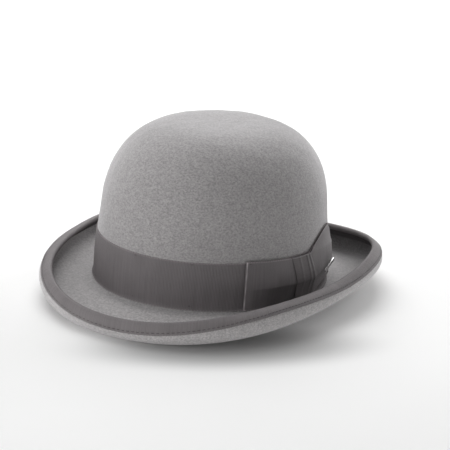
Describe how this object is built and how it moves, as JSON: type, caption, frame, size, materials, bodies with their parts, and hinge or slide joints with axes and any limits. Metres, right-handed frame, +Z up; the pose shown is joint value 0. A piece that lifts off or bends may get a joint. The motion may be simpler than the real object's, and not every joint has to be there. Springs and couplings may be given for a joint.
{
  "type": "bowler hat",
  "caption": "Felt bowler hat with a round domed crown, curled ribbon-bound brim, ribbon band with a flat side bow, leather sweatband and satin lining.",
  "frame": {"origin": "centre of the head opening, at the level where the crown's outside meets the upper side of the brim", "axes": "+Z up through the crown; -Y is the front of the hat, +Y the back; +X is the wearer's left, where the bow is"},
  "size_m": [0.2412, 0.3333, 0.1357],
  "materials": {
    "felt": "short brushed nap, matt",
    "ribbon": "grosgrain, fine cross ribs, soft sheen",
    "thread": "twisted polyester thread",
    "badge": "polished edge, fine brushed face",
    "leather": "fine grained, satin",
    "thread_inside": "twisted cotton thread",
    "reed": "extruded, smooth",
    "tape": "plain woven cotton tape",
    "label": "woven satin label, blank",
    "satin": "satin weave, sheen"
  },
  "bodies": {
    "root": {"felt_body": "felt", "brim_binding": "ribbon", "binding_thread": "thread", "hat_band": "ribbon", "band_tacks": "thread", "bow_ribbon": "ribbon", "bow_knot": "ribbon", "bow_tacks": "thread", "badge_plate": "badge", "sweatband": "leather", "sweatband_thread": "thread_inside", "sweatband_bow": "ribbon", "reed": "reed", "reed_tape": "tape", "size_label": "label", "lining_side": "satin", "lining_tip": "satin", "lining_thread": "thread_inside"}
  },
  "joints": []
}
